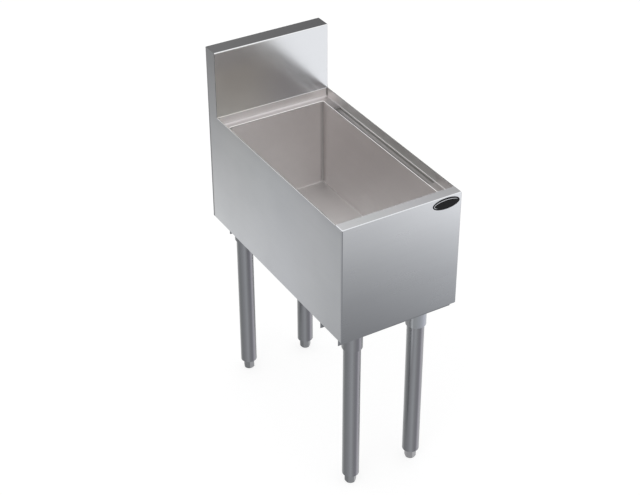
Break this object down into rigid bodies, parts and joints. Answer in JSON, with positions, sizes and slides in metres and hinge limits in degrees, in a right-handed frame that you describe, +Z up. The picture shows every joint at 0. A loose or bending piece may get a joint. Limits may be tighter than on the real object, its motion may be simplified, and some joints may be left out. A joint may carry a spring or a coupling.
{
  "type": "underbar ice bin",
  "caption": "Narrow stainless underbar ice bin: foam-insulated tub with ledges, rim, backsplash and drain on tubular legs with screw feet.",
  "frame": {"origin": "on the floor, under the middle of the part's bounding box", "axes": "+Z up, +Y towards the backsplash, +X to the right of a person who stands in front"},
  "size_m": [0.3048, 0.6106, 0.944],
  "materials": {
    "sheet_steel": "brushed stainless sheet, satin",
    "liner_steel": "brushed stainless sheet, satin, a little warmer",
    "foam": null,
    "channel_steel": "plain mill-finish steel",
    "leg_steel": "satin stainless tube",
    "ferrule_steel": "turned steel",
    "foot_steel": "turned and milled steel, satin",
    "screw_steel": "dark steel",
    "drain_steel": "turned stainless steel",
    "seal_rubber": "black rubber",
    "nut_brass": "plain brass",
    "badge_black": "glossy black with a thin bright inner line"
  },
  "bodies": {
    "bin": {"front_apron": "sheet_steel", "left_side_panel": "sheet_steel", "right_side_panel": "sheet_steel", "back_panel": "sheet_steel", "bottom_panel": "sheet_steel", "backsplash": "sheet_steel", "bin_liner": "liner_steel", "foam_insulation": "foam", "front_leg_channel": "channel_steel", "rear_leg_channel": "channel_steel", "leg_socket_front_left": "leg_steel", "leg_socket_front_right": "leg_steel", "leg_socket_rear_left": "leg_steel", "leg_socket_rear_right": "leg_steel", "leg_tube_front_left": "leg_steel", "leg_tube_front_right": "leg_steel", "leg_tube_rear_left": "leg_steel", "leg_tube_rear_right": "leg_steel", "foot_ferrule_front_left": "ferrule_steel", "foot_ferrule_front_right": "ferrule_steel", "foot_ferrule_rear_left": "ferrule_steel", "foot_ferrule_rear_right": "ferrule_steel", "set_screws": "screw_steel", "drain_body": "drain_steel", "drain_gasket": "seal_rubber", "drain_washer": "seal_rubber", "drain_locknut": "nut_brass", "badge": "badge_black"},
    "foot_front_left": {"foot_front_left": "foot_steel"},
    "foot_front_right": {"foot_front_right": "foot_steel"},
    "foot_rear_left": {"foot_rear_left": "foot_steel"},
    "foot_rear_right": {"foot_rear_right": "foot_steel"},
    "strainer": {"drain_strainer": "drain_steel"}
  },
  "joints": [
    {"name": "foot_front_left_screw", "type": "slide", "parent": "bin", "child": "foot_front_left", "axis": [0, 0, -1], "range_m": [0, 0.025]},
    {"name": "foot_front_right_screw", "type": "slide", "parent": "bin", "child": "foot_front_right", "axis": [0, 0, -1], "range_m": [0, 0.025]},
    {"name": "foot_rear_left_screw", "type": "slide", "parent": "bin", "child": "foot_rear_left", "axis": [0, 0, -1], "range_m": [0, 0.025]},
    {"name": "foot_rear_right_screw", "type": "slide", "parent": "bin", "child": "foot_rear_right", "axis": [0, 0, -1], "range_m": [0, 0.025]},
    {"name": "strainer_lift", "type": "slide", "parent": "bin", "child": "strainer", "axis": [0, 0, 1], "range_m": [0, 0.28]}
  ]
}
